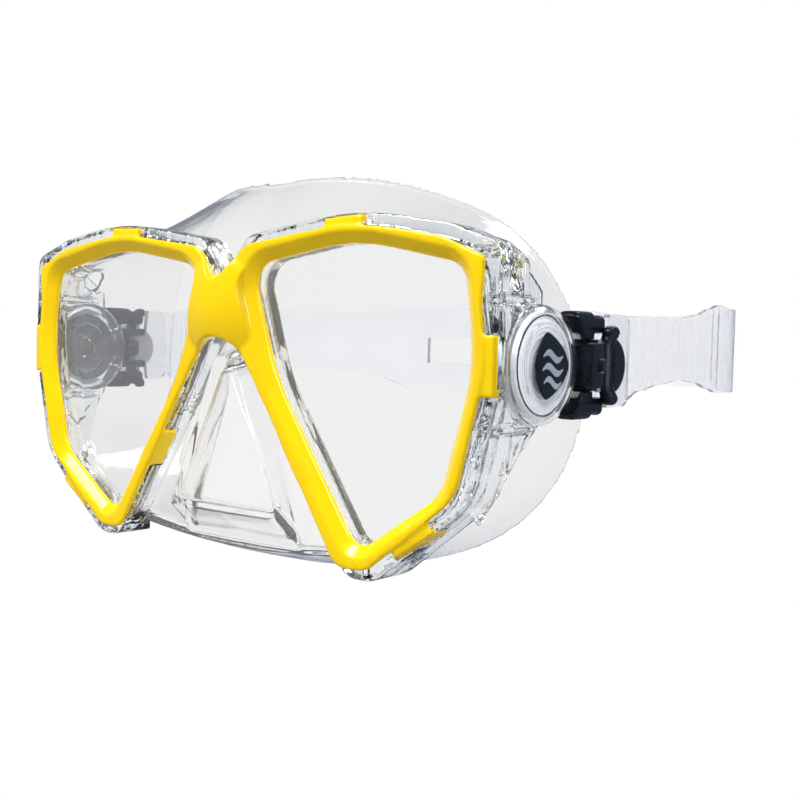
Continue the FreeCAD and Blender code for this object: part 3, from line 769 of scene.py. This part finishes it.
def build_world():
    """White round the horizon, grey overhead. The camera sees it white, and dull surfaces see it dimmer."""
    world = bpy.data.worlds.new("studio")
    scene.world = world
    world.use_nodes = True
    tree = world.node_tree
    coords = tree.nodes.new("ShaderNodeTexCoord")
    split = tree.nodes.new("ShaderNodeSeparateXYZ")
    ramp = tree.nodes.new("ShaderNodeValToRGB")
    stops = [(0.0, 0.3), (0.4, 1.0), (0.66, 1.0), (0.72, 0.2), (0.86, 0.03), (1.0, 0.15)]
    ramp.color_ramp.elements[0].position = stops[0][0]
    ramp.color_ramp.elements[1].position = stops[-1][0]
    for position, _ in stops[1:-1]:
        ramp.color_ramp.elements.new(position)
    for element, (_, value) in zip(ramp.color_ramp.elements, stops):
        element.color = (value ** 1.4, value ** 1.15, value, 1)
    scale = tree.nodes.new("ShaderNodeMapRange")
    scale.inputs["From Min"].default_value = -1.0
    tree.links.new(coords.outputs["Generated"], split.inputs["Vector"])
    tree.links.new(split.outputs["Z"], scale.inputs["Value"])
    tree.links.new(scale.outputs["Result"], ramp.inputs["Fac"])
    full = tree.nodes["Background"]
    tree.links.new(ramp.outputs["Color"], full.inputs["Color"])
    full.inputs["Strength"].default_value = WORLD_SEEN_THROUGH
    dim = tree.nodes.new("ShaderNodeBackground")
    dim.inputs["Strength"].default_value = WORLD_ON_DULL
    tree.links.new(ramp.outputs["Color"], dim.inputs["Color"])
    white = tree.nodes.new("ShaderNodeBackground")
    white.inputs["Color"].default_value = (1, 1, 1, 1)
    mirrored = tree.nodes.new("ShaderNodeBackground")
    mirrored.inputs["Color"].default_value = REFLECTED
    softer = choose_by_ray(tree, "Is Diffuse Ray", full.outputs["Background"], dim.outputs["Background"])
    softer = choose_by_ray(tree, "Is Glossy Ray", softer, mirrored.outputs["Background"])
    softer = choose_by_ray(tree, "Is Transmission Ray", softer, full.outputs["Background"])
    tree.links.new(choose_by_ray(tree, "Is Camera Ray", softer, white.outputs["Background"]),
                   tree.nodes["World Output"].inputs["Surface"])


def add_softbox(name, position, target, size, power):
    data = bpy.data.lights.new(name, "AREA")
    data.shape = "RECTANGLE"
    data.size, data.size_y = size
    data.energy = power
    obj = bpy.data.objects.new(name, data)
    scene.collection.objects.link(obj)
    obj.location = position
    obj.rotation_euler = (Vector(target) - Vector(position)).to_track_quat("-Z", "Y").to_euler()


def add_camera():
    """Camera at the view's own place: right, up and back directions in the frame's axes."""
    data = bpy.data.cameras.new("camera")
    camera = bpy.data.objects.new("camera", data)
    scene.collection.objects.link(camera)
    right = Vector((0.7842523, 0.6199510, 0.0246811))
    up = Vector((-0.0527678, 0.0270111, 0.9982414))
    turn = Matrix((right, up, right.cross(up))).transposed().to_4x4()
    camera.matrix_world = Matrix.Translation((0.233288, -0.262688, 0.015538)) @ turn
    data.sensor_width = 36.0
    data.lens = 54.0
    data.clip_start = 0.01
    scene.camera = camera


build_floor()
build_world()
add_softbox("key", (-0.3, -0.62, 0.85), (0, 0, 0), (0.5, 0.4), 12.5)
add_softbox("fill", (0.65, -0.4, 0.6), (0.05, 0, 0), (0.3, 0.4), 4)
add_softbox("rim", (0.2, 0.6, 0.7), (0, 0, 0), (0.5, 0.3), 2)
add_camera()
scene.view_settings.view_transform = "Standard"
scene.cycles.max_bounces = 24
scene.cycles.transmission_bounces = 24
scene.cycles.transparent_max_bounces = 24
